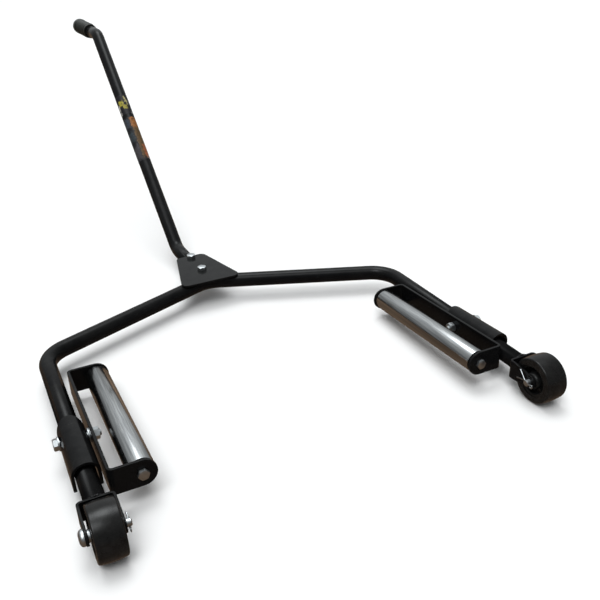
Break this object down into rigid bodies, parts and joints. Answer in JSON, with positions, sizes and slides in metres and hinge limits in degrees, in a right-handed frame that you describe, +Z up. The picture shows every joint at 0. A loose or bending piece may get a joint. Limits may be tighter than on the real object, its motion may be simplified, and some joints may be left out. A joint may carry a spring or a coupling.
{
  "type": "roller wheel dolly",
  "caption": "Two-arm roller dolly with a lever handle: bent tube fork, rocking brackets with free rollers, and small wheels at the arm ends.",
  "frame": {"origin": "on the floor, midway across the arms and halfway along the overall length", "axes": "+Z up from the floor, +Y towards the handle's grip, +X across; the right arm is the one at +X"},
  "size_m": [0.8316, 1.751, 0.509],
  "materials": {
    "black_paint": "semi-gloss powder coat",
    "zinc_plate": "bright zinc plate",
    "bright_roller": "polished plate with drawn lines",
    "grip_rubber": "matte",
    "tread_rubber": "satin",
    "black_plastic": "moulded",
    "yellow_label": "printed film",
    "orange_label": "printed film"
  },
  "bodies": {
    "frame": {"frame_tube": "black_paint", "gusset_plate": "black_paint", "gusset_bolts": "zinc_plate", "gusset_washers": "zinc_plate", "gusset_nuts": "zinc_plate", "handle_tube": "black_paint", "handle_grip": "grip_rubber", "upper_handle_label": "yellow_label", "lower_handle_label": "orange_label", "left_fork": "black_paint", "left_axle_pin": "zinc_plate", "left_axle_washers": "zinc_plate", "left_cotter_pin": "zinc_plate", "right_fork": "black_paint", "right_axle_pin": "zinc_plate", "right_axle_washers": "zinc_plate", "right_cotter_pin": "zinc_plate"},
    "left_carriage": {"left_saddle": "black_paint", "left_roller_bracket": "black_paint", "left_pivot_bolt": "zinc_plate", "left_pivot_washers": "zinc_plate", "left_pivot_nut": "zinc_plate", "left_roller_axle_bolt": "zinc_plate", "left_roller_washers": "zinc_plate", "left_roller_lock_nut": "zinc_plate"},
    "left_roller": {"left_roller_tube": "bright_roller", "left_roller_bushes": "black_plastic"},
    "left_wheel": {"left_wheel_tread": "tread_rubber", "left_wheel_hub": "black_plastic", "left_wheel_bush": "zinc_plate"},
    "right_carriage": {"right_saddle": "black_paint", "right_roller_bracket": "black_paint", "right_pivot_bolt": "zinc_plate", "right_pivot_washers": "zinc_plate", "right_pivot_nut": "zinc_plate", "right_roller_axle_bolt": "zinc_plate", "right_roller_washers": "zinc_plate", "right_roller_lock_nut": "zinc_plate"},
    "right_roller": {"right_roller_tube": "bright_roller", "right_roller_bushes": "black_plastic"},
    "right_wheel": {"right_wheel_tread": "tread_rubber", "right_wheel_hub": "black_plastic", "right_wheel_bush": "zinc_plate"}
  },
  "joints": [
    {"name": "left_carriage_rock", "type": "hinge", "parent": "frame", "child": "left_carriage", "pos_m": [-0.38, -0.621, 0.0465], "axis": [1, 0, 0], "range_deg": [-4.8, 5.2]},
    {"name": "left_roller_spin", "type": "hinge", "parent": "left_carriage", "child": "left_roller", "pos_m": [-0.306, -0.59652, 0.04543], "axis": [0, 0.999, -0.0436], "continuous": true},
    {"name": "left_wheel_spin", "type": "hinge", "parent": "frame", "child": "left_wheel", "pos_m": [-0.38, -0.833, 0.0425], "axis": [1, 0, 0], "continuous": true},
    {"name": "right_carriage_rock", "type": "hinge", "parent": "frame", "child": "right_carriage", "pos_m": [0.38, -0.621, 0.0465], "axis": [1, 0, 0], "range_deg": [-4.8, 5.2]},
    {"name": "right_roller_spin", "type": "hinge", "parent": "right_carriage", "child": "right_roller", "pos_m": [0.306, -0.59652, 0.04543], "axis": [0, 0.999, -0.0436], "continuous": true},
    {"name": "right_wheel_spin", "type": "hinge", "parent": "frame", "child": "right_wheel", "pos_m": [0.38, -0.833, 0.0425], "axis": [1, 0, 0], "continuous": true}
  ]
}
